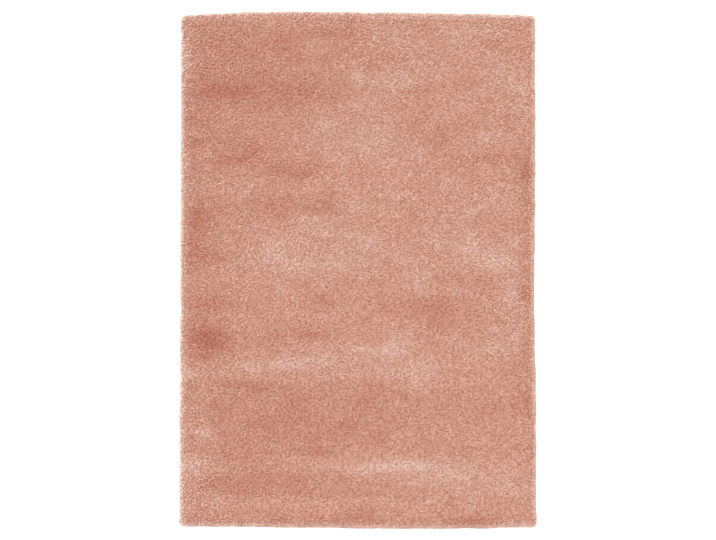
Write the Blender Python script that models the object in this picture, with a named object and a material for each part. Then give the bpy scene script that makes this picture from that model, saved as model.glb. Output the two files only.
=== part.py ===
"""A low pile rug lying flat: one slab of cut pile together with its backing."""

import math

import bmesh
import bpy
from mathutils import Vector, noise

# Driving sizes, in metres. +Y runs to the head end of the rug, +Z up out of the pile.
WIDTH = 1.3325
LENGTH = 1.9275
THICKNESS = 0.0150
CORNER_RADIUS = 0.0120

# The rim: pile tips round over at the top, and overhang the backing a little below.
SHOULDER = 0.0075
SHOULDER_STEPS = 3
OVERHANG = 0.0045
OVERHANG_STEPS = 2

# How far the woven outline strays outside a true rectangle. A bow is deepest mid way along
# its end, and its skew moves the deepest place towards +X.
HEAD_BOW = 0.0124
HEAD_SKEW = -0.54
FOOT_BOW = 0.0058
FOOT_SKEW = 1.40
LEFT_FLARE = 0.0072
RIGHT_FLARE = 0.0043
WAIST_DRAW = 0.0057
WAIST_PLACE = -0.08
WAIST_REACH = 0.25

# Uneven reach of the tufts in a band along each edge.
EDGE_BAND = 0.060
EDGE_RIPPLE = 0.0028
EDGE_RIPPLE_LENGTH = 0.055

# Relief of the pile: long soft strokes across the width, and smaller tousled spots.
STROKE_ACROSS = 0.34
STROKE_ALONG = 0.085
STROKE_HEIGHT = 0.0018
TOUSLE_SIZE = 0.080
TOUSLE_HEIGHT = 0.0010

# Spacing of the cuts that let the slab follow those forms.
RIM_SPACING = 0.0190
FIELD_SPACING = 0.0320

PILE_COLOUR = (0.610, 0.310, 0.227, 1.0)
PILE_ROUGHNESS = 0.95

COLLECTION_NAME = "low_pile_rug"
RUG_NAME = "pile_rug"


def clear_scene():
    for item in list(bpy.data.objects):
        bpy.data.objects.remove(item, do_unlink=True)


def pile_material():
    material = bpy.data.materials.new("dusty_pink_pile")
    material.use_nodes = True
    shader = material.node_tree.nodes["Principled BSDF"]
    shader.inputs["Base Color"].default_value = PILE_COLOUR
    shader.inputs["Roughness"].default_value = PILE_ROUGHNESS
    shader.inputs["Metallic"].default_value = 0.0
    return material


def is_upright(edge):
    """True for an edge that runs straight up the slab's side."""
    first, second = edge.verts
    return abs(first.co.z - second.co.z) > THICKNESS / 2


def is_level_at(edge, height):
    return all(abs(vertex.co.z - height) < 1e-6 for vertex in edge.verts)


def round_over(mesh, edges, reach, steps):
    bmesh.ops.bevel(mesh, geom=edges, offset=reach, segments=steps, profile=0.5, affect="EDGES")


def straight_slab(mesh):
    """A box with rounded corners, its rim rounded over above and below."""
    bmesh.ops.create_cube(mesh, size=1.0)
    bmesh.ops.scale(mesh, vec=(WIDTH, LENGTH, THICKNESS), verts=mesh.verts)
    bmesh.ops.translate(mesh, vec=(0.0, 0.0, THICKNESS / 2), verts=mesh.verts)
    round_over(mesh, [edge for edge in mesh.edges if is_upright(edge)], CORNER_RADIUS, 3)
    top_rim = [edge for edge in mesh.edges if is_level_at(edge, THICKNESS)]
    round_over(mesh, top_rim, SHOULDER, SHOULDER_STEPS)
    low_rim = [edge for edge in mesh.edges if is_level_at(edge, 0.0)]
    round_over(mesh, low_rim, OVERHANG, OVERHANG_STEPS)


def cut_across(mesh, faces, direction, size, spacing):
    """Cuts the faces with evenly spaced planes along one direction, and returns the pieces."""
    count = math.ceil(size / spacing)
    for index in range(1, count):
        place = size * (index / count - 0.5)
        edges = {edge for face in faces for edge in face.edges}
        cut = bmesh.ops.bisect_plane(
            mesh,
            geom=list(faces) + list(edges),
            plane_co=direction * place,
            plane_no=direction,
            dist=1e-6,
        )
        faces = [item for item in cut["geom"] if isinstance(item, bmesh.types.BMFace)]
    return faces


def rim_faces(mesh):
    return [face for face in mesh.faces if abs(face.normal.z) < 0.999]


def field_faces(mesh):
    """The level top of the slab, inside its rim."""
    return [face for face in mesh.faces if face.normal.z > 0.999]


def cut_slab(mesh):
    """Fine cuts round the rim and wider ones over the field; the underside stays one face."""
    for pick, spacing in ((rim_faces, RIM_SPACING), (field_faces, FIELD_SPACING)):
        mesh.normal_update()
        faces = pick(mesh)
        faces = cut_across(mesh, faces, Vector((1.0, 0.0, 0.0)), WIDTH, spacing)
        cut_across(mesh, faces, Vector((0.0, 1.0, 0.0)), LENGTH, spacing)


def side_reach(along, is_right):
    """Reach of a long side outside the rectangle, where along is -1 at the foot and 1 at the head."""
    foot_share = (0.5 - 0.5 * along) ** 2
    if not is_right:
        return LEFT_FLARE * foot_share
    waist = math.exp(-(((along - WAIST_PLACE) / WAIST_REACH) ** 2))
    return RIGHT_FLARE * foot_share - WAIST_DRAW * waist


def end_reach(across, is_head):
    """Reach of an end outside the rectangle, where across is -1 at the left and 1 at the right."""
    depth, skew = (HEAD_BOW, HEAD_SKEW) if is_head else (FOOT_BOW, FOOT_SKEW)
    return depth * (1.0 - across * across) * (1.0 + skew * across)


def ripple(place, lane):
    """Uneven reach of the tufts, where place runs along an edge and lane tells edges apart."""
    return EDGE_RIPPLE * noise.noise(Vector((place / EDGE_RIPPLE_LENGTH, lane, 0.5)))


def near_edge(distance):
    """1 at the edge, falling smoothly to 0 at the inside of the edge band."""
    nearness = max(0.0, 1.0 - distance / EDGE_BAND)
    return nearness * nearness * (3.0 - 2.0 * nearness)


def relief(x, y):
    """Height of the pile above or below its mean."""
    stroke = noise.noise(Vector((x / STROKE_ACROSS, y / STROKE_ALONG, 3.7)))
    tousle = noise.noise(Vector((x / TOUSLE_SIZE, y / TOUSLE_SIZE, 9.1)))
    return STROKE_HEIGHT * stroke + TOUSLE_HEIGHT * tousle


def lie(point):
    """Moves a point of the straight slab to where it lies in the rug."""
    x, y, z = point
    side = 1.0 if x > 0 else -1.0
    end = 1.0 if y > 0 else -1.0
    side_move = side_reach(2 * y / LENGTH, side > 0) + ripple(y, 4.3 + side)
    end_move = end_reach(2 * x / WIDTH, end > 0) + ripple(x, 8.3 + end)
    side_move *= near_edge(WIDTH / 2 - abs(x))
    end_move *= near_edge(LENGTH / 2 - abs(y))
    rise = relief(x, y) * z / THICKNESS
    return Vector((x + side * side_move, y + end * end_move, z + rise))


def centre(mesh):
    """Puts the middle of the outline over the origin, with the underside at z = 0."""
    lows = [min(vertex.co[axis] for vertex in mesh.verts) for axis in range(3)]
    highs = [max(vertex.co[axis] for vertex in mesh.verts) for axis in range(3)]
    middle = Vector(((lows[0] + highs[0]) / 2, (lows[1] + highs[1]) / 2, lows[2]))
    bmesh.ops.translate(mesh, vec=-middle, verts=mesh.verts)


def make_rug(collection):
    mesh = bmesh.new()
    straight_slab(mesh)
    cut_slab(mesh)
    for vertex in mesh.verts:
        vertex.co = lie(vertex.co)
    centre(mesh)
    bmesh.ops.recalc_face_normals(mesh, faces=mesh.faces)
    data = bpy.data.meshes.new(RUG_NAME)
    mesh.to_mesh(data)
    mesh.free()
    data.materials.append(pile_material())
    rug = bpy.data.objects.new(RUG_NAME, data)
    collection.objects.link(rug)


def main():
    clear_scene()
    collection = bpy.data.collections.new(COLLECTION_NAME)
    bpy.context.scene.collection.children.link(collection)
    make_rug(collection)


main()
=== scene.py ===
import math

import bmesh
import bpy
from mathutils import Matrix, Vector
from mathutils.bvhtree import BVHTree


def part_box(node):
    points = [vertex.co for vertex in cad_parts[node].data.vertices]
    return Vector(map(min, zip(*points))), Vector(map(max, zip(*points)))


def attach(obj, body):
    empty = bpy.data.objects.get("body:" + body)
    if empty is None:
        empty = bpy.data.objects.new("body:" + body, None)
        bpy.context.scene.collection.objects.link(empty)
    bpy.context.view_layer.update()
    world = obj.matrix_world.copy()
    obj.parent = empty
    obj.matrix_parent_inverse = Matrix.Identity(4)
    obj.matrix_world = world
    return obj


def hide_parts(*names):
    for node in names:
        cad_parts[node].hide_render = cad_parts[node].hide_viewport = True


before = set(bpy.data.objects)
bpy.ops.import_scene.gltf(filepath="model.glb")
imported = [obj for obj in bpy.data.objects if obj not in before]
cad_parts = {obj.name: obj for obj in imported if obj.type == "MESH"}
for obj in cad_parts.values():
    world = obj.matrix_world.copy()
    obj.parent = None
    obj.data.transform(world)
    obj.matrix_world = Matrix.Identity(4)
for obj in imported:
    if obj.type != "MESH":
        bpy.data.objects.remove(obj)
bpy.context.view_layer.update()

rugNode = "pile_rug"
rugLow, rugHigh = (Vector(corner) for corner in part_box(rugNode))
rugSize = rugHigh - rugLow


# Small helpers for node trees, shared by the materials and the geometry trees

def addNode(tree, kind, inputs=None, **settings):
    node = tree.nodes.new(kind)
    for name, value in settings.items():
        setattr(node, name, value)
    for name, value in (inputs or {}).items():
        feed(tree, node.inputs[name], value)
    return node


# Links a socket, or sets a constant on the node's own input
def feed(tree, entry, value):
    if isinstance(value, bpy.types.NodeSocket):
        tree.links.new(value, entry)
    else:
        entry.default_value = value


def calc(tree, operation, first, second=0.0, third=0.0):
    values = {0: first, 1: second, 2: third}
    return addNode(tree, "ShaderNodeMath", values, operation=operation).outputs[0]


def vectorCalc(tree, operation, first, second=(0.0, 0.0, 0.0)):
    values = {0: first, 1: second}
    if operation == "SCALE":
        values = {0: first, "Scale": second}
    node = addNode(tree, "ShaderNodeVectorMath", values, operation=operation)
    return node.outputs["Value" if operation in ("LENGTH", "DOT_PRODUCT") else 0]


def combine(tree, x=0.0, y=0.0, z=0.0):
    return addNode(tree, "ShaderNodeCombineXYZ", {0: x, 1: y, 2: z}).outputs[0]


def split(tree, vector):
    return addNode(tree, "ShaderNodeSeparateXYZ", {0: vector}).outputs


def attributeOf(tree, name, kind="FLOAT"):
    if tree.bl_idname == "GeometryNodeTree":
        node = addNode(tree, "GeometryNodeInputNamedAttribute", {"Name": name}, data_type=kind)
        return node.outputs["Attribute"]
    node = addNode(tree, "ShaderNodeAttribute", attribute_name=name)
    return node.outputs["Vector" if kind == "FLOAT_VECTOR" else "Fac"]


# The mix node has sockets of the same names for each kind of value; its colours are numbers 6, 7 and 2
def mixColours(tree, factor, first, second, blend="MIX"):
    values = {0: factor, 6: first, 7: second}
    return addNode(tree, "ShaderNodeMix", values, data_type="RGBA", blend_type=blend).outputs[2]


# Camera and studio

cameraPlan = {
    "lens": 100.0,
    "sensorWidth": 36.0,
    "frameWidth": 2.705,      # metres across the view, at the top of the pile
    "shiftAcross": 0.0011,
    "shiftAlong": 0.0002,
    "farClip": 100.0,
}

studioPlan = {
    "floorSize": 40.0,
    "floorColour": (0.93, 0.93, 0.925, 1.0),
    "floorRoughness": 0.9,
    "floorGap": 0.0002,       # from the floor up to the rug's underside
    "skyColour": (1.0, 1.0, 1.0, 1.0),
    "skyStrength": 1.20,
    "lampFrom": (-0.45, 0.60, 1.0),
    "lampSoftness": 0.60,     # radians across the lamp, as the rug sees it
    "lampStrength": 2.40,
}


def makeCamera(plan):
    data = bpy.data.cameras.new("overheadCamera")
    data.lens = plan["lens"]
    data.sensor_width = plan["sensorWidth"]
    data.clip_end = plan["farClip"]
    camera = bpy.data.objects.new("overheadCamera", data)
    height = plan["frameWidth"] * plan["lens"] / plan["sensorWidth"] + rugSize.z
    camera.location = (plan["shiftAcross"], plan["shiftAlong"], height)
    bpy.context.scene.collection.objects.link(camera)
    bpy.context.scene.camera = camera


def makeFloor(plan):
    mesh = bpy.data.meshes.new("studioFloor")
    form = bmesh.new()
    bmesh.ops.create_grid(form, x_segments=1, y_segments=1, size=plan["floorSize"] / 2)
    form.to_mesh(mesh)
    form.free()
    paint, _, shader = newMaterial("paleFloor")
    shader.inputs["Base Color"].default_value = plan["floorColour"]
    shader.inputs["Roughness"].default_value = plan["floorRoughness"]
    mesh.materials.append(paint)
    floor = bpy.data.objects.new("studioFloor", mesh)
    floor.location.z = rugLow.z - plan["floorGap"]
    bpy.context.scene.collection.objects.link(floor)


def makeStudio(plan):
    scene = bpy.context.scene
    scene.view_settings.view_transform = "Standard"
    scene.view_settings.look = "None"
    world = bpy.data.worlds.new("studioSky")
    world.use_nodes = True
    sky = world.node_tree.nodes["Background"]
    sky.inputs["Color"].default_value = plan["skyColour"]
    sky.inputs["Strength"].default_value = plan["skyStrength"]
    scene.world = world

    lampData = bpy.data.lights.new("softLamp", "SUN")
    lampData.angle = plan["lampSoftness"]
    lampData.energy = plan["lampStrength"]
    lamp = bpy.data.objects.new("softLamp", lampData)
    lamp.rotation_euler = Vector(plan["lampFrom"]).to_track_quat("Z", "Y").to_euler()
    scene.collection.objects.link(lamp)
    makeFloor(plan)


# Painted light and shade of the brushed pile: where the lay of the nap makes it look paler or deeper
# than its mean

paintedNapPlan = {
    "paintedSideLight": 0.25,         # painted light and shade: how much paler the right edge is than the middle, and the left deeper
}

# Each stroke is painted light where it is paler and painted shade where it is deeper: middle across and
# along, half width, half length, and how much paler it is
paintedNapStrokes = (
    (-0.380, 0.790, 0.320, 0.200, -0.9),
    (-0.420, 0.675, 0.260, 0.035, -1.5),
    (-0.530, 0.680, 0.060, 0.025, -1.0),
    (-0.100, 0.660, 0.070, 0.020, -0.6),
    (-0.130, 0.900, 0.070, 0.025, -0.7),
    (-0.280, 0.860, 0.040, 0.040, -0.6),
    (-0.180, 0.800, 0.060, 0.020, -0.7),
    (-0.530, 0.870, 0.050, 0.050, -0.5),
    (-0.570, 0.770, 0.060, 0.020, -0.6),
    (-0.520, 0.485, 0.120, 0.020, -0.8),
    (-0.470, 0.420, 0.060, 0.030, -1.0),
    (-0.240, 0.380, 0.100, 0.030, -1.4),
    (-0.330, 0.255, 0.100, 0.030, -0.8),
    (-0.150, 0.235, 0.080, 0.020, -1.0),
    (-0.600, 0.200, 0.045, 0.070, -2.0),
    (-0.620, 0.090, 0.035, 0.050, -1.0),
    (-0.550, 0.050, 0.050, 0.030, -1.2),
    (-0.500, 0.220, 0.060, 0.030, -0.5),
    (-0.560, -0.125, 0.085, 0.030, -1.9),
    (-0.565, -0.265, 0.085, 0.065, -3.2),
    (-0.330, -0.250, 0.035, 0.020, -0.9),
    (-0.170, -0.245, 0.070, 0.018, -1.2),
    (-0.130, -0.120, 0.050, 0.030, -1.0),
    (0.060, -0.040, 0.040, 0.020, -0.7),
    (0.110, -0.130, 0.050, 0.025, -1.2),
    (0.280, -0.140, 0.090, 0.030, -1.3),
    (0.300, -0.200, 0.060, 0.040, -0.8),
    (0.020, 0.500, 0.170, 0.120, 0.6),
    (0.230, 0.440, 0.030, 0.030, 0.8),
    (-0.300, 0.070, 0.140, 0.070, 0.8),
    (-0.320, 0.070, 0.030, 0.030, 0.9),
    (0.000, 0.120, 0.040, 0.020, 1.0),
    (0.050, 0.050, 0.200, 0.050, 0.6),
    (0.420, 0.090, 0.050, 0.050, 0.9),
    (0.520, 0.030, 0.050, 0.030, 1.0),
    (0.300, 0.120, 0.040, 0.030, 0.6),
    (0.240, -0.050, 0.040, 0.040, 1.2),
    (0.380, -0.090, 0.020, 0.020, 1.0),
    (0.570, -0.090, 0.020, 0.050, 1.3),
    (-0.120, -0.180, 0.020, 0.020, 0.8),
    (-0.280, -0.365, 0.240, 0.028, 1.0),
    (-0.160, -0.330, 0.080, 0.040, 0.5),
    (0.140, -0.300, 0.050, 0.050, 1.5),
    (0.090, -0.370, 0.080, 0.040, 0.8),
    (0.220, -0.420, 0.030, 0.030, 1.6),
    (0.540, -0.270, 0.050, 0.060, 0.9),
    (0.380, -0.270, 0.040, 0.040, 0.6),
    (-0.220, -0.580, 0.420, 0.150, -1.0),
    (-0.380, -0.450, 0.040, 0.020, -0.7),
    (-0.240, -0.500, 0.040, 0.070, -0.7),
    (-0.350, -0.580, 0.060, 0.025, -0.7),
    (0.050, -0.480, 0.050, 0.045, -1.1),
    (-0.030, -0.585, 0.040, 0.020, -1.0),
    (0.080, -0.645, 0.040, 0.020, -0.8),
    (-0.470, -0.700, 0.050, 0.020, -0.7),
    (0.350, -0.550, 0.300, 0.130, -0.4),
    (0.120, -0.745, 0.200, 0.028, 2.0),
    (0.240, -0.740, 0.050, 0.020, 0.8),
    (0.350, -0.770, 0.080, 0.030, 0.8),
    (0.500, -0.810, 0.140, 0.050, 0.9),
    (-0.350, -0.810, 0.280, 0.040, -1.0),
    (-0.530, -0.810, 0.050, 0.020, -0.7),
    (0.000, -0.845, 0.200, 0.015, -0.6),
    (-0.620, -0.750, 0.050, 0.050, 1.5),
    (-0.580, -0.620, 0.035, 0.030, 1.2),
    (-0.200, -0.880, 0.500, 0.015, 0.6),
    (-0.100, -0.940, 0.300, 0.020, -0.8),
    (0.400, -0.950, 0.080, 0.020, -1.3),
    (0.635, 0.380, 0.025, 0.040, -2.4),
    (0.635, 0.100, 0.020, 0.250, -0.9),
    (0.630, -0.480, 0.030, 0.040, -1.3),
    (0.600, -0.390, 0.030, 0.030, -0.9),
    (0.050, 0.765, 0.035, 0.020, -0.9),
    (0.230, 0.675, 0.050, 0.020, -1.0),
    (0.220, 0.550, 0.050, 0.070, -0.6),
    (0.310, 0.510, 0.025, 0.030, -1.1),
    (0.570, 0.570, 0.020, 0.040, -1.0),
    (0.600, 0.830, 0.060, 0.025, -0.8),
    (0.550, 0.440, 0.080, 0.030, -0.7),
    (0.440, 0.350, 0.030, 0.050, -0.7),
    (0.350, 0.880, 0.250, 0.060, 0.4),
    # These four run along the sides and ends: painted light on the left side and the head, painted shade
    # on the right side and the foot
    (-0.665, 0.000, 0.014, 1.500, 2.0),
    (0.665, 0.000, 0.012, 1.500, -1.2),
    (0.000, 0.965, 1.000, 0.012, 1.0),
    (0.000, -0.965, 1.000, 0.012, -1.3),
    (-0.645, 0.780, 0.020, 0.090, 1.6),
    (-0.620, 0.565, 0.050, 0.025, -1.7),
    (-0.530, 0.560, 0.040, 0.015, -0.9),
    (-0.540, 0.615, 0.040, 0.012, -0.8),
    (-0.350, 0.620, 0.080, 0.015, -0.9),
    (-0.620, 0.475, 0.030, 0.020, -1.0),
    (-0.340, 0.495, 0.050, 0.012, -1.4),
    (-0.400, 0.455, 0.040, 0.030, -1.3),
    (-0.320, 0.390, 0.030, 0.030, -0.8),
    (-0.620, 0.370, 0.040, 0.030, -0.8),
    (-0.200, 0.355, 0.050, 0.020, -0.9),
    (-0.300, 0.220, 0.030, 0.030, -0.8),
    (-0.600, 0.090, 0.070, 0.040, -0.9),
    (-0.450, 0.080, 0.030, 0.020, -1.0),
    (-0.130, 0.250, 0.050, 0.030, -0.9),
    (-0.120, 0.140, 0.050, 0.030, 1.0),
    (-0.080, 0.020, 0.060, 0.020, 0.9),
    (-0.220, -0.040, 0.130, 0.050, 0.8),
    (-0.130, 0.550, 0.050, 0.030, 1.6),
    (-0.070, 0.430, 0.050, 0.030, 0.7),
    (-0.040, 0.540, 0.050, 0.020, -0.7),
    (0.030, 0.385, 0.060, 0.015, -1.0),
    (0.000, 0.730, 0.030, 0.025, 1.8),
    (0.030, 0.640, 0.030, 0.020, 0.8),
    (-0.200, 0.680, 0.040, 0.015, -1.1),
    (-0.150, 0.860, 0.050, 0.020, 1.3),
    (-0.310, 0.800, 0.030, 0.020, 0.7),
    (-0.420, 0.920, 0.120, 0.030, 0.5),
    (-0.030, 0.940, 0.030, 0.020, -1.0),
    (0.260, 0.910, 0.020, 0.030, -1.0),
    (0.520, 0.930, 0.040, 0.015, -0.7),
    (0.600, 0.900, 0.030, 0.020, -0.7),
    (0.330, 0.760, 0.030, 0.040, 0.6),
    (0.440, 0.715, 0.050, 0.020, -0.8),
    (0.610, 0.680, 0.050, 0.030, 0.6),
    (0.480, 0.600, 0.030, 0.015, -0.8),
    (0.310, 0.470, 0.060, 0.050, -0.7),
    (0.500, 0.425, 0.070, 0.015, -1.3),
    (0.470, 0.490, 0.050, 0.030, 0.6),
    (0.640, 0.470, 0.030, 0.020, -1.0),
    (0.620, 0.360, 0.030, 0.030, -0.7),
    (0.630, 0.250, 0.030, 0.020, -0.8),
    (0.220, 0.210, 0.020, 0.030, -0.8),
    (0.120, 0.200, 0.050, 0.015, 0.6),
    (0.420, 0.225, 0.050, 0.012, 0.8),
    (0.450, 0.180, 0.030, 0.015, -0.8),
    (0.590, 0.100, 0.030, 0.030, 0.9),
    (0.500, 0.020, 0.090, 0.030, 0.8),
    (0.050, 0.060, 0.030, 0.015, -1.2),
    (0.130, 0.045, 0.020, 0.012, -0.8),
    (0.300, -0.030, 0.020, 0.020, -1.6),
    (0.250, -0.050, 0.020, 0.015, -0.9),
    (0.640, -0.090, 0.030, 0.030, -2.2),
    (0.650, -0.020, 0.020, 0.030, -1.0),
    (0.500, -0.060, 0.030, 0.015, -0.9),
    (0.300, -0.130, 0.120, 0.030, -0.6),
    (0.520, -0.155, 0.040, 0.012, 0.8),
    (0.540, -0.195, 0.030, 0.012, -1.7),
    (0.600, -0.250, 0.020, 0.060, 0.9),
    (0.655, -0.250, 0.020, 0.060, -0.9),
    (0.170, -0.210, 0.020, 0.020, -1.0),
    (0.030, -0.195, 0.030, 0.015, -1.1),
    (-0.160, -0.190, 0.020, 0.020, -0.8),
    (-0.200, -0.245, 0.050, 0.020, -1.0),
    (0.020, -0.300, 0.050, 0.015, 1.9),
    (0.150, -0.360, 0.030, 0.012, -1.5),
    (0.250, -0.350, 0.050, 0.030, 1.0),
    (0.270, -0.405, 0.030, 0.012, 1.3),
    (0.470, -0.300, 0.030, 0.015, 0.8),
    (-0.280, -0.355, 0.050, 0.020, 1.0),
    (-0.520, -0.390, 0.050, 0.015, 1.2),
    (-0.050, -0.400, 0.050, 0.015, 0.8),
    (-0.380, -0.445, 0.050, 0.015, -1.6),
    (-0.270, -0.445, 0.030, 0.015, -1.2),
    (-0.660, -0.490, 0.030, 0.020, -1.3),
    (-0.510, -0.520, 0.030, 0.020, -0.9),
    (0.100, -0.440, 0.040, 0.020, -0.7),
    (0.360, -0.470, 0.050, 0.015, -0.8),
    (0.570, -0.520, 0.090, 0.030, -1.2),
    (0.650, -0.550, 0.020, 0.030, -1.2),
    (-0.570, -0.620, 0.040, 0.020, 0.8),
    (-0.240, -0.620, 0.060, 0.012, 0.9),
    (0.030, -0.630, 0.050, 0.012, 1.0),
    (0.170, -0.610, 0.050, 0.015, 0.8),
    (-0.500, -0.690, 0.020, 0.020, -1.3),
    (-0.430, -0.660, 0.030, 0.012, -0.9),
    (-0.160, -0.680, 0.040, 0.020, -1.2),
    (0.400, -0.685, 0.040, 0.012, -1.0),
    (0.650, -0.680, 0.020, 0.030, -1.3),
    (-0.130, -0.740, 0.060, 0.020, 1.0),
    (0.100, -0.760, 0.050, 0.012, -0.8),
    (-0.060, -0.785, 0.040, 0.015, -1.3),
    (0.200, -0.800, 0.080, 0.012, 0.7),
    (0.620, -0.800, 0.050, 0.012, -1.4),
    (-0.200, -0.830, 0.060, 0.030, -0.8),
    (-0.530, -0.865, 0.020, 0.015, 1.4),
    (0.200, -0.870, 0.060, 0.020, -0.8),
    (0.350, -0.870, 0.030, 0.020, -0.9),
    (0.570, -0.875, 0.100, 0.012, -1.0),
    (-0.180, -0.900, 0.030, 0.015, -0.8),
    (-0.280, -0.945, 0.030, 0.010, -1.4),
    (-0.570, -0.940, 0.050, 0.012, -0.8),
    (0.060, -0.940, 0.030, 0.015, -1.4),
    (0.470, -0.940, 0.100, 0.020, -1.6),
    (0.450, -0.150, 0.200, 0.120, -0.4),
    (0.400, -0.030, 0.100, 0.030, -0.7),
    (0.480, -0.260, 0.080, 0.020, -1.0),
    (0.610, -0.320, 0.050, 0.050, -0.9),
    (0.480, -0.440, 0.030, 0.020, -1.2),
    (0.480, -0.540, 0.030, 0.020, -1.0),
    (0.520, -0.650, 0.030, 0.030, -0.7),
    (0.480, -0.800, 0.080, 0.030, -0.8),
    (-0.210, -0.050, 0.050, 0.020, -1.4),
    (-0.070, -0.040, 0.040, 0.020, -0.8),
    (-0.320, -0.265, 0.040, 0.020, -0.8),
    (-0.470, -0.430, 0.040, 0.020, -1.2),
    (-0.420, -0.520, 0.020, 0.020, -0.9),
    (-0.070, -0.600, 0.020, 0.015, -1.0),
    (-0.140, -0.700, 0.020, 0.015, -1.0),
    (-0.460, -0.830, 0.100, 0.020, -0.6),
    (0.000, -0.910, 0.070, 0.030, -1.1),
    (-0.050, -0.715, 0.050, 0.012, 0.9),
    (-0.600, -0.590, 0.040, 0.030, 1.0),
    (-0.630, -0.395, 0.040, 0.015, 1.6),
    (-0.410, -0.375, 0.040, 0.020, 1.1),
    (-0.460, -0.190, 0.050, 0.020, 0.9),
    (-0.590, -0.130, 0.020, 0.020, -1.2),
    (-0.620, 0.020, 0.030, 0.030, -0.9),
    (-0.450, 0.420, 0.120, 0.030, -0.9),
    (-0.600, 0.490, 0.020, 0.020, -1.3),
    (-0.430, 0.290, 0.030, 0.030, 1.0),
    (-0.370, 0.200, 0.030, 0.030, -0.8),
    (-0.270, 0.270, 0.050, 0.015, -0.7),
    (-0.200, 0.180, 0.050, 0.030, 0.9),
    (-0.160, 0.120, 0.050, 0.012, -0.9),
    (-0.020, 0.250, 0.080, 0.040, 0.6),
    (0.060, 0.100, 0.030, 0.030, 1.0),
    (0.340, 0.130, 0.040, 0.015, -0.9),
    (0.350, 0.320, 0.040, 0.030, 0.8),
    (0.570, 0.340, 0.040, 0.020, -1.0),
    (0.380, 0.430, 0.030, 0.015, -1.0),
    (-0.050, 0.460, 0.030, 0.030, -0.8),
    (0.440, 0.550, 0.060, 0.015, -1.2),
    (0.240, 0.580, 0.050, 0.015, -0.8),
    (-0.180, 0.550, 0.060, 0.012, -0.9),
    (-0.260, 0.630, 0.050, 0.020, -0.8),
    (0.140, 0.730, 0.120, 0.030, 0.7),
    (-0.190, 0.770, 0.050, 0.015, 1.1),
    (0.120, 0.800, 0.050, 0.020, -1.0),
    (0.310, 0.850, 0.020, 0.020, -1.0),
    (0.500, 0.860, 0.060, 0.015, -1.4),
    (-0.030, 0.885, 0.050, 0.015, -1.2),
    (0.160, 0.870, 0.030, 0.020, 0.9),
    (0.140, -0.180, 0.040, 0.015, -0.8),
    (0.280, -0.260, 0.020, 0.015, -1.0),
    (0.500, -0.225, 0.030, 0.012, 1.2),
    (0.620, -0.130, 0.020, 0.030, 0.9),
)


# The painted light and shade of the nap, as a tone at a place on the rug
def paintedNapTone(x, y):
    tone = paintedNapPlan["paintedSideLight"] * x / rugHigh.x
    for across, along, halfWidth, halfLength, paler in paintedNapStrokes:
        away = ((x - across) / halfWidth) ** 2 + ((y - along) / halfLength) ** 2
        tone += paler * math.exp(-away)
    return tone


def storeOnPoints(mesh, name, values):
    mesh.attributes.new(name, "FLOAT", "POINT").data.foreach_set("value", values)


# Colours that the tufts and the lower pile share

pileColours = {
    "deep": (0.515, 0.198, 0.131, 1.0),
    "middle": (0.665, 0.389, 0.304, 1.0),
    "pale": (0.824, 0.676, 0.604, 1.0),
    "fringeLight": (0.870, 0.680, 0.600, 1.0),     # painted light on the fibres that splay out at the rim
    "toneSpan": 3.42,                         # tone at which the pale or deep colour is reached
    "shadePowers": (0.70, 1.10, 1.32),        # how fast red, green and blue fall in the shade
}

clothShine = 0.2              # of pile, yarn ends and backing alike


# From deep to pale by the tone, which holds painted nap light and shade besides the pile's random tone
def pileColour(tree, tone):
    colours = pileColours
    toPale = calc(tree, "MULTIPLY_ADD", tone, 0.5 / colours["toneSpan"], 0.5)
    ramp = addNode(tree, "ShaderNodeValToRGB", {"Fac": toPale})
    ramp.color_ramp.elements[0].color = colours["deep"]
    ramp.color_ramp.elements[1].color = colours["pale"]
    ramp.color_ramp.elements.new(0.5).color = colours["middle"]
    return ramp.outputs["Color"]


# Light that reaches into the pile comes back redder, so its shade is a deeper colour and not a grey
def darken(tree, colour, amount):
    powers = enumerate(pileColours["shadePowers"])
    tint = {channel: calc(tree, "POWER", amount, power) for channel, power in powers}
    tint = addNode(tree, "ShaderNodeCombineColor", tint).outputs[0]
    return mixColours(tree, 1.0, colour, tint, "MULTIPLY")


def newMaterial(name):
    material = bpy.data.materials.new(name)
    material.use_nodes = True
    return material, material.node_tree, material.node_tree.nodes["Principled BSDF"]


def fineNoise(tree, place, scale=1.0):
    given = {"Vector": place, "Scale": scale, "Detail": 3.0}
    return addNode(tree, "ShaderNodeTexNoise", given).outputs["Fac"]


# A value's distance from one half, added as strongly as its share says
def addSwing(tree, light, value, share):
    swing = calc(tree, "SUBTRACT", value, 0.5)
    return calc(tree, "ADD", light, calc(tree, "MULTIPLY", swing, share))


def dressShader(tree, shader, colour, height, plan):
    tree.links.new(colour, shader.inputs["Base Color"])
    smoothest = plan["roughness"] - plan["roughSpread"] / 2
    rough = calc(tree, "MULTIPLY_ADD", height, plan["roughSpread"], smoothest)
    tree.links.new(rough, shader.inputs["Roughness"])
    relief = {"Height": height, "Strength": plan["bump"], "Distance": plan["relief"]}
    bump = addNode(tree, "ShaderNodeBump", relief)
    tree.links.new(bump.outputs["Normal"], shader.inputs["Normal"])
    shader.inputs["Specular IOR Level"].default_value = clothShine


# Finish of the tufts

tuftPlan = {
    "rootShade": 0.67,            # light left at a tuft's root
    "rootClimb": 0.7,             # power by which the light comes back up the tuft
    "fibres": (9.0, 9.0, 1.2),    # fibres seen across a tuft, and along it
    "fibreShift": 300.0,          # moves each tuft's fibres through the noise, by its own light
    "fibreLight": 0.55,
    "relief": 0.0012,
    "bump": 0.7,
    "roughness": 0.92,
    "roughSpread": 0.12,
    "sheen": 0.15,
    "sheenRoughness": 0.5,
    "sheenTint": (1.0, 0.86, 0.80, 1.0),
}


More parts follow.
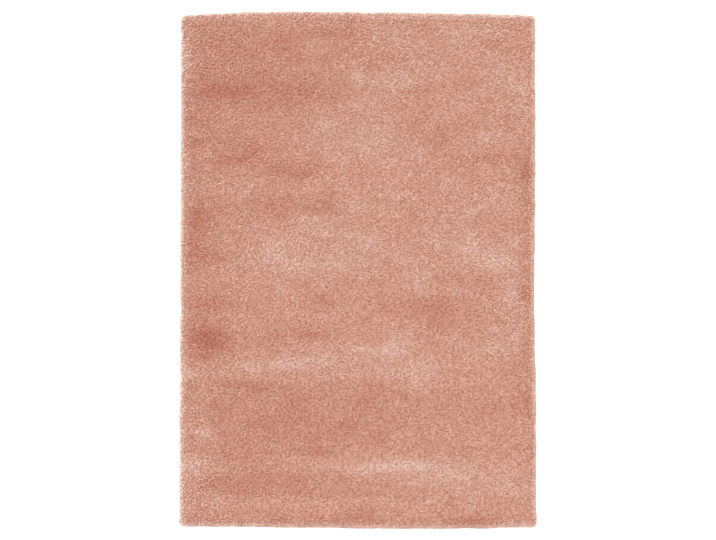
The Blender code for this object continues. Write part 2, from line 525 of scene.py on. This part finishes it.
def makeTuftMaterial(plan):
    material, tree, shader = newMaterial("cutPile")
    own = attributeOf(tree, "light")
    colour = pileColour(tree, attributeOf(tree, "tone"))
    # Painted light, paler towards the rim where the fibres splay out
    colour = mixColours(tree, attributeOf(tree, "fringeLight"), colour, pileColours["fringeLight"])

    # Fibres run up each tuft, in another pattern on each
    yarn = vectorCalc(tree, "MULTIPLY", attributeOf(tree, "yarn", "FLOAT_VECTOR"), plan["fibres"])
    yarn = vectorCalc(tree, "ADD", yarn, combine(tree, calc(tree, "MULTIPLY", own, plan["fibreShift"])))
    fibres = fineNoise(tree, yarn)

    fromRoot = calc(tree, "POWER", attributeOf(tree, "along"), plan["rootClimb"])
    light = calc(tree, "MULTIPLY_ADD", fromRoot, 1 - plan["rootShade"], plan["rootShade"])
    light = calc(tree, "MULTIPLY", light, own)
    fibreLight = calc(tree, "MULTIPLY_ADD", fibres, plan["fibreLight"], 1 - plan["fibreLight"] / 2)
    light = calc(tree, "MULTIPLY", light, fibreLight)
    dressShader(tree, shader, darken(tree, colour, light), fibres, plan)
    shader.inputs["Sheen Weight"].default_value = plan["sheen"]
    shader.inputs["Sheen Roughness"].default_value = plan["sheenRoughness"]
    shader.inputs["Sheen Tint"].default_value = plan["sheenTint"]
    return material


# The lower pile between the tufts: close yarn ends with painted shade in the seams between them, each a
# little paler or deeper, and each with its fibres lying its own way

rootPlan = {
    "yarnWidth": 0.0044,
    "fibreSize": (0.0006, 0.0030, 0.0030),
    "fibreShare": 0.35,       # of the fibres in the relief, beside the yarn ends
    "fibreLight": 0.50,
    "seamLight": 0.41,        # light left in the seams
    "crownLight": 0.41,       # and how much more there is on the yarn ends
    "ownLight": 0.24,
    "relief": 0.003,
    "bump": 0.8,
    "roughness": 0.93,
    "roughSpread": 0.06,
}


def makeRootMaterial(plan):
    material, tree, shader = newMaterial("pileRoots")
    place = addNode(tree, "ShaderNodeTexCoord").outputs["Object"]
    ends = {"Vector": place, "Scale": 1 / plan["yarnWidth"]}
    ends = addNode(tree, "ShaderNodeTexVoronoi", ends).outputs
    dome = calc(tree, "SUBTRACT", 1.0, ends["Distance"])
    own, way, _ = addNode(tree, "ShaderNodeSeparateColor", {0: ends["Color"]}).outputs
    turn = {"Vector": place, "Angle": calc(tree, "MULTIPLY", way, math.tau)}
    turned = addNode(tree, "ShaderNodeVectorRotate", turn, rotation_type="Z_AXIS").outputs[0]
    fibres = fineNoise(tree, vectorCalc(tree, "DIVIDE", turned, plan["fibreSize"]))
    height = calc(tree, "MULTIPLY_ADD", fibres, plan["fibreShare"], dome)
    light = calc(tree, "MULTIPLY_ADD", dome, plan["crownLight"], plan["seamLight"])
    light = addSwing(tree, light, own, plan["ownLight"])
    light = addSwing(tree, light, fibres, plan["fibreLight"])
    colour = darken(tree, pileColour(tree, attributeOf(tree, "tone")), light)
    dressShader(tree, shader, colour, height, plan)
    return material


# The backing: a plain weave, warp over weft and weft over warp in turn, with slubs in the thread

backingPlan = {
    "threadPitch": 0.0028,
    "slubScale": 90.0,
    "slubShare": 0.5,
    "deep": (0.300, 0.235, 0.185, 1.0),
    "pale": (0.640, 0.560, 0.470, 1.0),
    "relief": 0.0008,
    "bump": 0.7,
    "roughness": 0.9,
    "roughSpread": 0.1,
}


def makeBackingMaterial(plan):
    material, tree, shader = newMaterial("wovenBacking")
    place = addNode(tree, "ShaderNodeTexCoord").outputs["Object"]
    x, y, _ = split(tree, vectorCalc(tree, "SCALE", place, math.pi / plan["threadPitch"]))
    warp = calc(tree, "ABSOLUTE", calc(tree, "SINE", x))
    weft = calc(tree, "ABSOLUTE", calc(tree, "SINE", y))
    over = calc(tree, "SINE", calc(tree, "MULTIPLY", x, 0.5))
    over = calc(tree, "MULTIPLY", over, calc(tree, "SINE", calc(tree, "MULTIPLY", y, 0.5)))
    over = calc(tree, "GREATER_THAN", over, 0.0)
    weave = mixColours(tree, over, warp, weft)
    weave = addNode(tree, "ShaderNodeRGBToBW", {0: weave}).outputs[0]
    weave = calc(tree, "MULTIPLY", weave, 1 - plan["slubShare"])
    slubs = fineNoise(tree, place, plan["slubScale"])
    height = calc(tree, "MULTIPLY_ADD", slubs, plan["slubShare"], weave)
    # Darker where the weave lies lower: painted shade between and along the threads, and painted light
    # on their crowns and slubs
    colour = mixColours(tree, height, plan["deep"], plan["pale"])
    dressShader(tree, shader, colour, height, plan)
    return material


# The mat that the tufts stand on, cut to the rug's own outline, with a plain woven underside

matPlan = {
    "rimInset": 0.0065,       # how far inside the rug's outline the mat ends
    "height": 0.62,           # of the rug's own height
    "weld": 1e-5,             # the solid's faces come apart, and are joined again within this
    "undersideFacing": -0.5,  # faces that look down more than this are backing
    "sideFacing": 0.3,        # faces that look up or down less than this are the mat's sides
    "rimBand": 0.018,         # how far in from the sides the tufts lean out and take the painted rim light
}


def makeMat(plan, materials):
    form = bmesh.new()
    form.from_mesh(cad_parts[rugNode].data)
    bmesh.ops.remove_doubles(form, verts=form.verts, dist=plan["weld"])
    inset = 2 * plan["rimInset"]
    shrink = Vector((1 - inset / rugSize.x, 1 - inset / rugSize.y, plan["height"]))
    bmesh.ops.scale(form, vec=shrink, verts=form.verts)
    form.normal_update()
    for face in form.faces:
        face.smooth = True
        face.material_index = int(face.normal.z < plan["undersideFacing"])
    mesh = bpy.data.meshes.new("rug_mat")
    form.to_mesh(mesh)
    form.free()
    for material in materials:
        mesh.materials.append(material)
    # The tone holds the painted light and shade of the nap
    storeOnPoints(mesh, "tone", [paintedNapTone(vertex.co.x, vertex.co.y) for vertex in mesh.vertices])
    mat = bpy.data.objects.new("rug_mat", mesh)
    bpy.context.scene.collection.objects.link(mat)
    return mat


# For each corner, which way the nearest side of the mat looks, the longer the nearer it is
def outwardFrom(sides, corners, plan):
    level = rugSize.z * plan["height"] / 2
    outward = []
    for corner in corners:
        _, looks, _, away = sides.find_nearest(Vector((corner.x, corner.y, level)))
        near = max(0.0, 1.0 - away / plan["rimBand"])
        outward.extend(Vector((looks.x, looks.y, 0.0)).normalized() * near * near * (3.0 - 2.0 * near))
    return outward


# For each corner, how far the rug reaches outside the mat there, fading to none on the flat top
def reachFrom(corners, normals):
    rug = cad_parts[rugNode].data
    skin = [vertex.co.copy() for vertex in rug.vertices]
    skin = BVHTree.FromPolygons(skin, [polygon.vertices[:] for polygon in rug.polygons])
    reach = [skin.ray_cast(corner, normal)[3] or 0.0 for corner, normal in zip(corners, normals)]
    return [length * (1.0 - max(0.0, normal.z)) for length, normal in zip(reach, normals)]


# A finer copy of the mat for planting, which knows the painted nap light and shade, the way out and the
# rug's reach
def plantingMesh(mat, plan):
    form = bmesh.new()
    form.from_mesh(mat.data)
    bmesh.ops.subdivide_edges(form, edges=form.edges, cuts=1, use_grid_fill=True)
    form.normal_update()
    form.verts.index_update()
    corners = [vertex.co.copy() for vertex in form.verts]
    normals = [vertex.normal.copy() for vertex in form.verts]
    sides = [face for face in form.faces if abs(face.normal.z) < plan["sideFacing"]]
    sides = [[vertex.index for vertex in face.verts] for face in sides]
    mesh = bpy.data.meshes.new("planting")
    form.to_mesh(mesh)
    form.free()
    mesh.attributes.remove(mesh.attributes["tone"])
    storeOnPoints(mesh, "tone", [paintedNapTone(corner.x, corner.y) for corner in corners])
    outward = outwardFrom(BVHTree.FromPolygons(corners, sides), corners, plan)
    mesh.attributes.new("outward", "FLOAT_VECTOR", "POINT").data.foreach_set("vector", outward)
    storeOnPoints(mesh, "reach", reachFrom(corners, normals))
    return mesh


# The cut pile: tufts in staggered rows over the top, and finer ones round the rim. What both share
# comes first. A value whose name has a capital is an input of the tufts' node tree.

sharedPlan = {
    "Width Spread": 0.20,
    "Sink": 0.0010,
    "Droop": 0.0012,
    "Tip Clear": 0.0030,              # least height of a tip above the floor
    "Floor Clear": 0.0004,
    "Flow Size": (0.060, 0.024, 1.0),
    "Clump Size": (0.018, 0.0075, 0.011),
    "Clump Middle": 0.4,              # where a tuft is neither raised nor lowered by its clump
    "Streak Size": (0.22, 0.050, 1.0),
    "Streak Tone": 0.5,
    "Tousle Size": (0.022, 0.022, 0.022),
    "Tousle Tone": 0.5,
    "Row Size": (0.024, 0.0052, 1.0),
    "Row Shift": (3.0, 0.0, 0.0),     # keeps the rows' light apart from the rest of the noise
    "Row Light": 0.20,
    "Own Shade": 0.15,
    "Seam Shade": 0.18,
    "Seam Width": 0.25,
    "Fringe Light Share": 0.50,
}

fieldPlan = sharedPlan | {
    "strips": 5,
    "Row Pitch": 0.00545,
    "Tuft Pitch": 0.00545,
    "Scatter": 0.0017,
    "Steepest": 0.5,                  # tufts stand where the mat looks up more than this
    "Height": 0.0062,
    "Height Spread": 0.20,
    "Reach Share": 0.0,
    "Width": 0.0062,
    "Flow Lean": (0.036, 0.022, 0.0),
    "Clump Lean": 0.0034,
    "Clump Rise": 0.0020,
    "Rim Lean": 0.0080,
    "Rim Drawn": 0.40,
    "Loose Lean": 0.0050,
    "Nap Lean": (0.0004, -0.0012, 0.0),
    "Sideways": (1.0, 0.35, 0.0),
    "Least Lean": 0.0085,
    "Most Lean": 0.0130,
    "Cells Across": 134,
    "Seed": 11,
}

rimPlan = sharedPlan | {
    "Spacing": 0.00115,
    "Density": 700000.0,
    "Lowest Facing": -0.1,            # tufts stand where the mat looks up more than this
    "Highest Facing": 0.85,           # and less than this
    "Height": 0.0068,
    "Height Spread": 0.10,
    "Reach Share": 1.0,
    "Width": 0.0038,
    "Flow Lean": (0.006, 0.006, 0.0),
    "Clump Lean": 0.0016,
    "Clump Rise": 0.0006,
    "Rim Lean": 0.0,
    "Rim Drawn": 0.0,
    "Loose Lean": 0.0080,
    "Nap Lean": (0.0, 0.0, -0.0010),
    "Sideways": (1.0, 1.0, 1.0),
    "Least Lean": 0.0,
    "Most Lean": 0.0090,
    "Cells Across": 112,
    "Seed": 23,
}

# One tuft, and where its sides and its root end lie in its cell of the map
tuftForm = {
    "climb": 0.20,            # power that lifts the middle ring to 0.87 of the height
    "rootGirth": 0.6,
    "girthGain": 1.6,
    "faces": 7,               # three pairs on its sides, and the root end
    "sidesScale": 0.46,
    "sidesMiddle": (0.42, 0.5, 0.0),
    "endScale": 0.06,
    "endMiddle": (0.08, 0.88, 0.0),
}

dropFrom = 0.1                # height from which the rows fall onto the mat
slopeStep = 0.0015            # between the places whose rise is compared
leastLength = 1e-5            # so that no lean is divided by zero
noLimit = -10.0               # lower than any place


def storeValue(tree, geometry, name, value, kind="FLOAT", domain="POINT"):
    given = {"Geometry": geometry, "Name": name, "Value": value}
    node = addNode(tree, "GeometryNodeStoreNamedAttribute", given, data_type=kind, domain=domain)
    return node.outputs["Geometry"]


def movePoints(tree, geometry, **where):
    given = {"Geometry": geometry} | {name.capitalize(): value for name, value in where.items()}
    return addNode(tree, "GeometryNodeSetPosition", given).outputs[0]


def placeOf(tree):
    return tree.nodes.new("GeometryNodeInputPosition").outputs[0]


def noiseAt(tree, place, size, output="Fac"):
    scaled = vectorCalc(tree, "DIVIDE", place, size)
    given = {"Vector": scaled, "Scale": 1.0, "Detail": 1.0}
    return addNode(tree, "ShaderNodeTexNoise", given).outputs[output]


# Noise that runs from about -1 to 1
def swingAt(tree, place, size):
    return calc(tree, "MULTIPLY", calc(tree, "SUBTRACT", noiseAt(tree, place, size), 0.5), 4.0)


# 0 along winding lines between clumps, rising to about 1 on the clumps
def worms(tree, place, size):
    return calc(tree, "ABSOLUTE", swingAt(tree, place, size))


def randomValue(tree, low, high, seed, stream, kind="FLOAT"):
    node = addNode(tree, "FunctionNodeRandomValue", data_type=kind)
    ends = [socket for socket in node.inputs if socket.enabled]
    ends[0].default_value = low
    ends[1].default_value = high
    tree.links.new(calc(tree, "ADD", seed, stream), node.inputs["Seed"])
    return [socket for socket in node.outputs if socket.enabled][0]


# A random factor round one
def spreadOf(tree, seed, stream, spread):
    return calc(tree, "MULTIPLY_ADD", randomValue(tree, -1.0, 1.0, seed, stream), spread, 1.0)


def keepAbove(tree, place, lowest):
    return vectorCalc(tree, "MAXIMUM", place, combine(tree, noLimit, noLimit, lowest))


def layOut(tree, place, scale, middle):
    flat = vectorCalc(tree, "MULTIPLY", place, (scale, scale, 0.0))
    return vectorCalc(tree, "ADD", flat, middle)


# A three sided yarn end, narrow at its root, full above the middle, drawn in to its tip
def oneTuft(tree, given):
    form = tuftForm
    sizes = {"Vertices": 3, "Side Segments": 2, "Radius Top": 0.0, "Radius Bottom": 1.0, "Depth": 1.0}
    blank = addNode(tree, "GeometryNodeMeshCone", sizes, fill_type="NGON")
    place = placeOf(tree)
    cell = {
        "Switch": blank.outputs["Bottom"],
        "False": layOut(tree, place, form["sidesScale"], form["sidesMiddle"]),
        "True": layOut(tree, place, form["endScale"], form["endMiddle"]),
    }
    onMap = addNode(tree, "GeometryNodeSwitch", cell, input_type="VECTOR").outputs[0]
    tuft = storeValue(tree, blank.outputs["Mesh"], "OFBake", onMap, "FLOAT2", "CORNER")
    tuft = storeValue(tree, tuft, "yarn", place, "FLOAT_VECTOR")
    x, y, z = split(tree, place)
    tuft = storeValue(tree, tuft, "along", calc(tree, "POWER", z, form["climb"]))
    along = attributeOf(tree, "along")
    # The cone has half its radius at the middle ring, and the girth there doubles it
    girth = calc(tree, "MULTIPLY_ADD", along, form["girthGain"], form["rootGirth"])
    radius = calc(tree, "MULTIPLY", calc(tree, "MULTIPLY", given["Width"], 0.5), girth)
    shaped = combine(tree, calc(tree, "MULTIPLY", x, radius), calc(tree, "MULTIPLY", y, radius), along)
    return movePoints(tree, tuft, position=shaped)


# Rows of points that fall straight down onto the mat. Those that meet its steep sides are left out, and
# so are those that miss it, which face no way at all.
def fieldRoots(tree, given):
    index = tree.nodes.new("GeometryNodeInputIndex").outputs[0]
    column = calc(tree, "MODULO", index, given["Columns"])
    row = calc(tree, "FLOOR", calc(tree, "DIVIDE", index, given["Columns"]))
    stagger = calc(tree, "MULTIPLY", calc(tree, "MODULO", column, 2.0), 0.5)
    x = calc(tree, "MULTIPLY_ADD", calc(tree, "ADD", column, 0.5), given["Row Pitch"], given["From X"])
    y = calc(tree, "MULTIPLY_ADD", calc(tree, "ADD", row, stagger), given["Tuft Pitch"], given["From Y"])
    scatter = randomValue(tree, (-1.0, -1.0, 0.0), (1.0, 1.0, 0.0), given["Seed"], 0, "FLOAT_VECTOR")
    scatter = vectorCalc(tree, "SCALE", scatter, given["Scatter"])
    start = vectorCalc(tree, "ADD", combine(tree, x, y, dropFrom), scatter)
    count = calc(tree, "MULTIPLY", given["Columns"], given["Rows"])
    points = addNode(tree, "GeometryNodePoints", {"Count": count, "Position": start}).outputs[0]
    straightDown = {"Ray Direction": (0.0, 0.0, -1.0), "Ray Length": 1.0}
    hit = addNode(tree, "GeometryNodeRaycast", {"Target Geometry": given["Geometry"]} | straightDown)
    points = storeValue(tree, points, "facing", hit.outputs["Hit Normal"], "FLOAT_VECTOR")
    points = movePoints(tree, points, position=hit.outputs["Hit Position"])
    upward = split(tree, attributeOf(tree, "facing", "FLOAT_VECTOR"))["Z"]
    lost = {"Geometry": points, "Selection": calc(tree, "LESS_THAN", upward, given["Steepest"])}
    return addNode(tree, "GeometryNodeDeleteGeometry", lost).outputs[0]


def rimRoots(tree, given):
    normal = tree.nodes.new("GeometryNodeInputNormal").outputs[0]
    upward = split(tree, normal)["Z"]
    aboveLowest = calc(tree, "GREATER_THAN", upward, given["Lowest Facing"])
    belowHighest = calc(tree, "LESS_THAN", upward, given["Highest Facing"])
    spread = {
        "Mesh": given["Geometry"],
        "Selection": calc(tree, "MULTIPLY", aboveLowest, belowHighest),
        "Distance Min": given["Spacing"],
        "Density Max": given["Density"],
        "Seed": given["Seed"],
    }
    roots = addNode(tree, "GeometryNodeDistributePointsOnFaces", spread, distribute_method="POISSON")
    return storeValue(tree, roots.outputs["Points"], "facing", roots.outputs["Normal"], "FLOAT_VECTOR")


def onMat(tree, mat, name, kind="FLOAT"):
    sampled = {"Mesh": mat, "Value": attributeOf(tree, name, kind)}
    return addNode(tree, "GeometryNodeSampleNearestSurface", sampled, data_type=kind).outputs["Value"]


# Away from the winding lines between clumps, at the clumps' own scale
def clumpLean(tree, given):
    place = placeOf(tree)
    here = worms(tree, place, given["Clump Size"])
    east = worms(tree, vectorCalc(tree, "ADD", place, (slopeStep, 0.0, 0.0)), given["Clump Size"])
    north = worms(tree, vectorCalc(tree, "ADD", place, (0.0, slopeStep, 0.0)), given["Clump Size"])
    slope = combine(tree, calc(tree, "SUBTRACT", east, here), calc(tree, "SUBTRACT", north, here))
    perStep = calc(tree, "DIVIDE", given["Clump Lean"], slopeStep)
    return vectorCalc(tree, "MULTIPLY", slope, vectorCalc(tree, "SCALE", given["Clump Size"], perStep))


# Where a tuft leans: with the flow of its neighbours, off the lines between clumps, and a little
# by itself
def leanAt(tree, given):
    flow = noiseAt(tree, placeOf(tree), given["Flow Size"], "Color")
    flow = vectorCalc(tree, "SUBTRACT", flow, (0.5, 0.5, 0.5))
    lean = vectorCalc(tree, "MULTIPLY", flow, given["Flow Lean"])
    lean = vectorCalc(tree, "ADD", lean, clumpLean(tree, given))
    loose = randomValue(tree, (-1.0, -1.0, -1.0), (1.0, 1.0, 1.0), given["Seed"], 1, "FLOAT_VECTOR")
    lean = vectorCalc(tree, "ADD", lean, vectorCalc(tree, "SCALE", loose, given["Loose Lean"]))
    lean = vectorCalc(tree, "ADD", lean, given["Nap Lean"])
    lean = vectorCalc(tree, "MULTIPLY", lean, given["Sideways"])
    outward = onMat(tree, given["Geometry"], "outward", "FLOAT_VECTOR")
    lean = vectorCalc(tree, "ADD", lean, vectorCalc(tree, "SCALE", outward, given["Rim Lean"]))
    # Only sideways, so that it leaves the reach of the rim alone
    facing = attributeOf(tree, "facing", "FLOAT_VECTOR")
    lift = vectorCalc(tree, "SCALE", facing, vectorCalc(tree, "DOT_PRODUCT", lean, facing))
    lean = vectorCalc(tree, "SUBTRACT", lean, lift)
    length = calc(tree, "MAXIMUM", vectorCalc(tree, "LENGTH", lean), leastLength)
    kept = calc(tree, "MINIMUM", calc(tree, "MAXIMUM", length, given["Least Lean"]), given["Most Lean"])
    drawn = calc(tree, "MULTIPLY", vectorCalc(tree, "LENGTH", outward), given["Rim Drawn"])
    kept = calc(tree, "MULTIPLY", kept, calc(tree, "SUBTRACT", 1.0, drawn))
    return vectorCalc(tree, "SCALE", lean, calc(tree, "DIVIDE", kept, length))


# The tufts' tone: painted nap light and shade from the mat, random streaks of painted nap light and
# shade, and random tousle of the pile's own tone
def toneAt(tree, given):
    place = placeOf(tree)
    streak = swingAt(tree, place, given["Streak Size"])
    tousle = swingAt(tree, place, given["Tousle Size"])
    tone = onMat(tree, given["Geometry"], "tone")
    tone = calc(tree, "MULTIPLY_ADD", streak, given["Streak Tone"], tone)
    return calc(tree, "MULTIPLY_ADD", tousle, given["Tousle Tone"], tone)


# How much painted light the tufts take at the rim, where their fibres splay out
def fringeLightAt(tree, given):
    near = vectorCalc(tree, "LENGTH", onMat(tree, given["Geometry"], "outward", "FLOAT_VECTOR"))
    return calc(tree, "MULTIPLY", near, given["Fringe Light Share"])


# Short rows of tufts catch the light together, a few tufts are much darker than the rest, and those
# between clumps are in shade
def lightAt(tree, given):
    rows = swingAt(tree, vectorCalc(tree, "ADD", placeOf(tree), given["Row Shift"]), given["Row Size"])
    rows = calc(tree, "MULTIPLY", rows, given["Row Light"])
    rise = attributeOf(tree, "rise")
    seam = {"Value": rise, "From Max": given["Seam Width"], "To Min": 1.0, "To Max": 0.0}
    seam = addNode(tree, "ShaderNodeMapRange", seam, interpolation_type="SMOOTHSTEP").outputs[0]
    light = calc(tree, "SUBTRACT", rows, calc(tree, "MULTIPLY", seam, given["Seam Shade"]))
    own = calc(tree, "POWER", randomValue(tree, 0.0, 1.0, given["Seed"], 2), 3.0)
    light = calc(tree, "SUBTRACT", light, calc(tree, "MULTIPLY", own, given["Own Shade"]))
    return calc(tree, "ADD", light, 1.0)


# Each tuft has its own cell on the map that the finish is baked to
def cellAt(tree, given):
    index = tree.nodes.new("GeometryNodeInputIndex").outputs[0]
    column = calc(tree, "MODULO", index, given["Cells Across"])
    return combine(tree, column, calc(tree, "FLOOR", calc(tree, "DIVIDE", index, given["Cells Across"])))


def mapCells(tree, pile, given):
    cell = attributeOf(tree, "cell", "FLOAT_VECTOR")
    inCell = vectorCalc(tree, "ADD", attributeOf(tree, "OFBake", "FLOAT_VECTOR"), cell)
    onMap = vectorCalc(tree, "SCALE", inCell, calc(tree, "DIVIDE", 1.0, given["Cells Across"]))
    return storeValue(tree, pile, "OFBake", onMap, "FLOAT2", "CORNER")


def standOn(tree, points, tuft, given):
    seed = given["Seed"]
    raised = calc(tree, "SUBTRACT", attributeOf(tree, "rise"), given["Clump Middle"])
    lift = calc(tree, "MULTIPLY", raised, given["Clump Rise"])
    outside = attributeOf(tree, "reach")
    height = calc(tree, "MULTIPLY_ADD", outside, given["Reach Share"], given["Height"])
    height = calc(tree, "MULTIPLY_ADD", spreadOf(tree, seed, 4, given["Height Spread"]), height, lift)
    reach = vectorCalc(tree, "SCALE", attributeOf(tree, "facing", "FLOAT_VECTOR"), height)
    reach = vectorCalc(tree, "ADD", reach, attributeOf(tree, "lean", "FLOAT_VECTOR"))
    lowest = calc(tree, "SUBTRACT", given["Tip Clear"], split(tree, placeOf(tree))["Z"])
    reach = keepAbove(tree, reach, lowest)
    upright = addNode(tree, "FunctionNodeAlignRotationToVector", {"Vector": reach}, axis="Z").outputs[0]
    turn = combine(tree, z=randomValue(tree, 0.0, math.tau, seed, 3))
    spin = addNode(tree, "FunctionNodeEulerToRotation", {0: turn}).outputs[0]
    turned = {"Rotation": upright, "Rotate By": spin}
    stance = addNode(tree, "FunctionNodeRotateRotation", turned, rotation_space="LOCAL").outputs[0]
    wider = spreadOf(tree, seed, 5, given["Width Spread"])
    scale = combine(tree, wider, wider, vectorCalc(tree, "LENGTH", reach))
    placing = {"Points": points, "Instance": tuft, "Rotation": stance, "Scale": scale}
    standing = addNode(tree, "GeometryNodeInstanceOnPoints", placing).outputs[0]
    return addNode(tree, "GeometryNodeRealizeInstances", {"Geometry": standing}).outputs[0]


# Sinks each tuft's root into the mat, lets its tip droop, and keeps it off the floor
def settle(tree, pile, given):
    facing = attributeOf(tree, "facing", "FLOAT_VECTOR")
    sunk = vectorCalc(tree, "SCALE", facing, calc(tree, "MULTIPLY", given["Sink"], -1.0))
    tip = calc(tree, "MULTIPLY", calc(tree, "POWER", attributeOf(tree, "along"), 3.0), given["Droop"])
    sunk = vectorCalc(tree, "ADD", sunk, combine(tree, z=calc(tree, "MULTIPLY", tip, -1.0)))
    pile = movePoints(tree, pile, offset=sunk)
    return movePoints(tree, pile, position=keepAbove(tree, placeOf(tree), given["Floor Clear"]))


def makeTuftTree(name, sizes, rootsFor):
    tree = bpy.data.node_groups.new(name, "GeometryNodeTree")
    tree.interface.new_socket("Geometry", in_out="INPUT", socket_type="NodeSocketGeometry")
    kinds = {float: "NodeSocketFloat", int: "NodeSocketInt", tuple: "NodeSocketVector"}
    for label, value in sizes.items():
        kind = kinds.get(type(value), "NodeSocketMaterial")
        tree.interface.new_socket(label, in_out="INPUT", socket_type=kind)
    tree.interface.new_socket("Geometry", in_out="OUTPUT", socket_type="NodeSocketGeometry")
    given = tree.nodes.new("NodeGroupInput").outputs
    tuft = oneTuft(tree, given)
    points = rootsFor(tree, given)
    points = storeValue(tree, points, "lean", leanAt(tree, given), "FLOAT_VECTOR")
    points = storeValue(tree, points, "rise", worms(tree, placeOf(tree), given["Clump Size"]))
    points = storeValue(tree, points, "tone", toneAt(tree, given))
    points = storeValue(tree, points, "fringeLight", fringeLightAt(tree, given))
    points = storeValue(tree, points, "light", lightAt(tree, given))
    points = storeValue(tree, points, "reach", onMat(tree, given["Geometry"], "reach"))
    points = storeValue(tree, points, "cell", cellAt(tree, given), "FLOAT_VECTOR")
    pile = standOn(tree, points, tuft, given)
    pile = settle(tree, pile, given)
    pile = mapCells(tree, pile, given)
    pile = addNode(tree, "GeometryNodeSetShadeSmooth", {"Geometry": pile}).outputs[0]
    finished = {"Geometry": pile, "Material": given["Material"]}
    pile = addNode(tree, "GeometryNodeSetMaterial", finished).outputs[0]
    tree.links.new(pile, tree.nodes.new("NodeGroupOutput").inputs[0])
    return tree


def growPiece(name, planting, tree, sizes):
    piece = bpy.data.objects.new(name, planting)
    bpy.context.scene.collection.objects.link(piece)
    modifier = piece.modifiers.new("tufts", "NODES")
    modifier.node_group = tree
    for item in tree.interface.items_tree:
        if item.in_out == "INPUT" and item.name in sizes:
            modifier[item.identifier] = sizes[item.name]
    graph = bpy.context.evaluated_depsgraph_get()
    mesh = bpy.data.meshes.new_from_object(piece.evaluated_get(graph), depsgraph=graph)
    piece.modifiers.clear()
    piece.data = mesh
    mesh.name = name
    for spare in ("facing", "lean", "rise", "cell", "reach", "outward"):
        if spare in mesh.attributes:
            mesh.attributes.remove(mesh.attributes[spare])
    print(f"{name}: {len(mesh.polygons) // tuftForm['faces']} tufts")
    return piece


def growField(plan, planting, material):
    stripWidth = rugSize.x / plan["strips"]
    columns = round(stripWidth / plan["Row Pitch"])
    sizes = {label: value for label, value in plan.items() if label != "strips"}
    sizes |= {
        "Columns": columns,
        "Rows": round(rugSize.y / plan["Tuft Pitch"]),
        "Row Pitch": stripWidth / columns,
        "From X": rugLow.x,
        "From Y": rugLow.y,
        "Material": material,
    }
    tree = makeTuftTree("fieldTufts", sizes, fieldRoots)
    strips = []
    for number in range(plan["strips"]):
        own = {"From X": rugLow.x + stripWidth * number, "Seed": plan["Seed"] + 10 * number}
        strips.append(growPiece(f"pile_strip_{number + 1}", planting, tree, sizes | own))
    return strips


def growRim(plan, planting, material):
    sizes = plan | {"Material": material}
    return growPiece("pile_rim", planting, makeTuftTree("rimTufts", sizes, rimRoots), sizes)


def standFor(piece):
    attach(piece, "root")
    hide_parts(rugNode)


print("camera and studio")
makeCamera(cameraPlan)
makeStudio(studioPlan)
print("mat")
rugMat = makeMat(matPlan, [makeRootMaterial(rootPlan), makeBackingMaterial(backingPlan)])
print("pile")
cutPile = makeTuftMaterial(tuftPlan)
planting = plantingMesh(rugMat, matPlan)
pilePieces = growField(fieldPlan, planting, cutPile)
pilePieces.append(growRim(rimPlan, planting, cutPile))
for piece in [rugMat, *pilePieces]:
    standFor(piece)
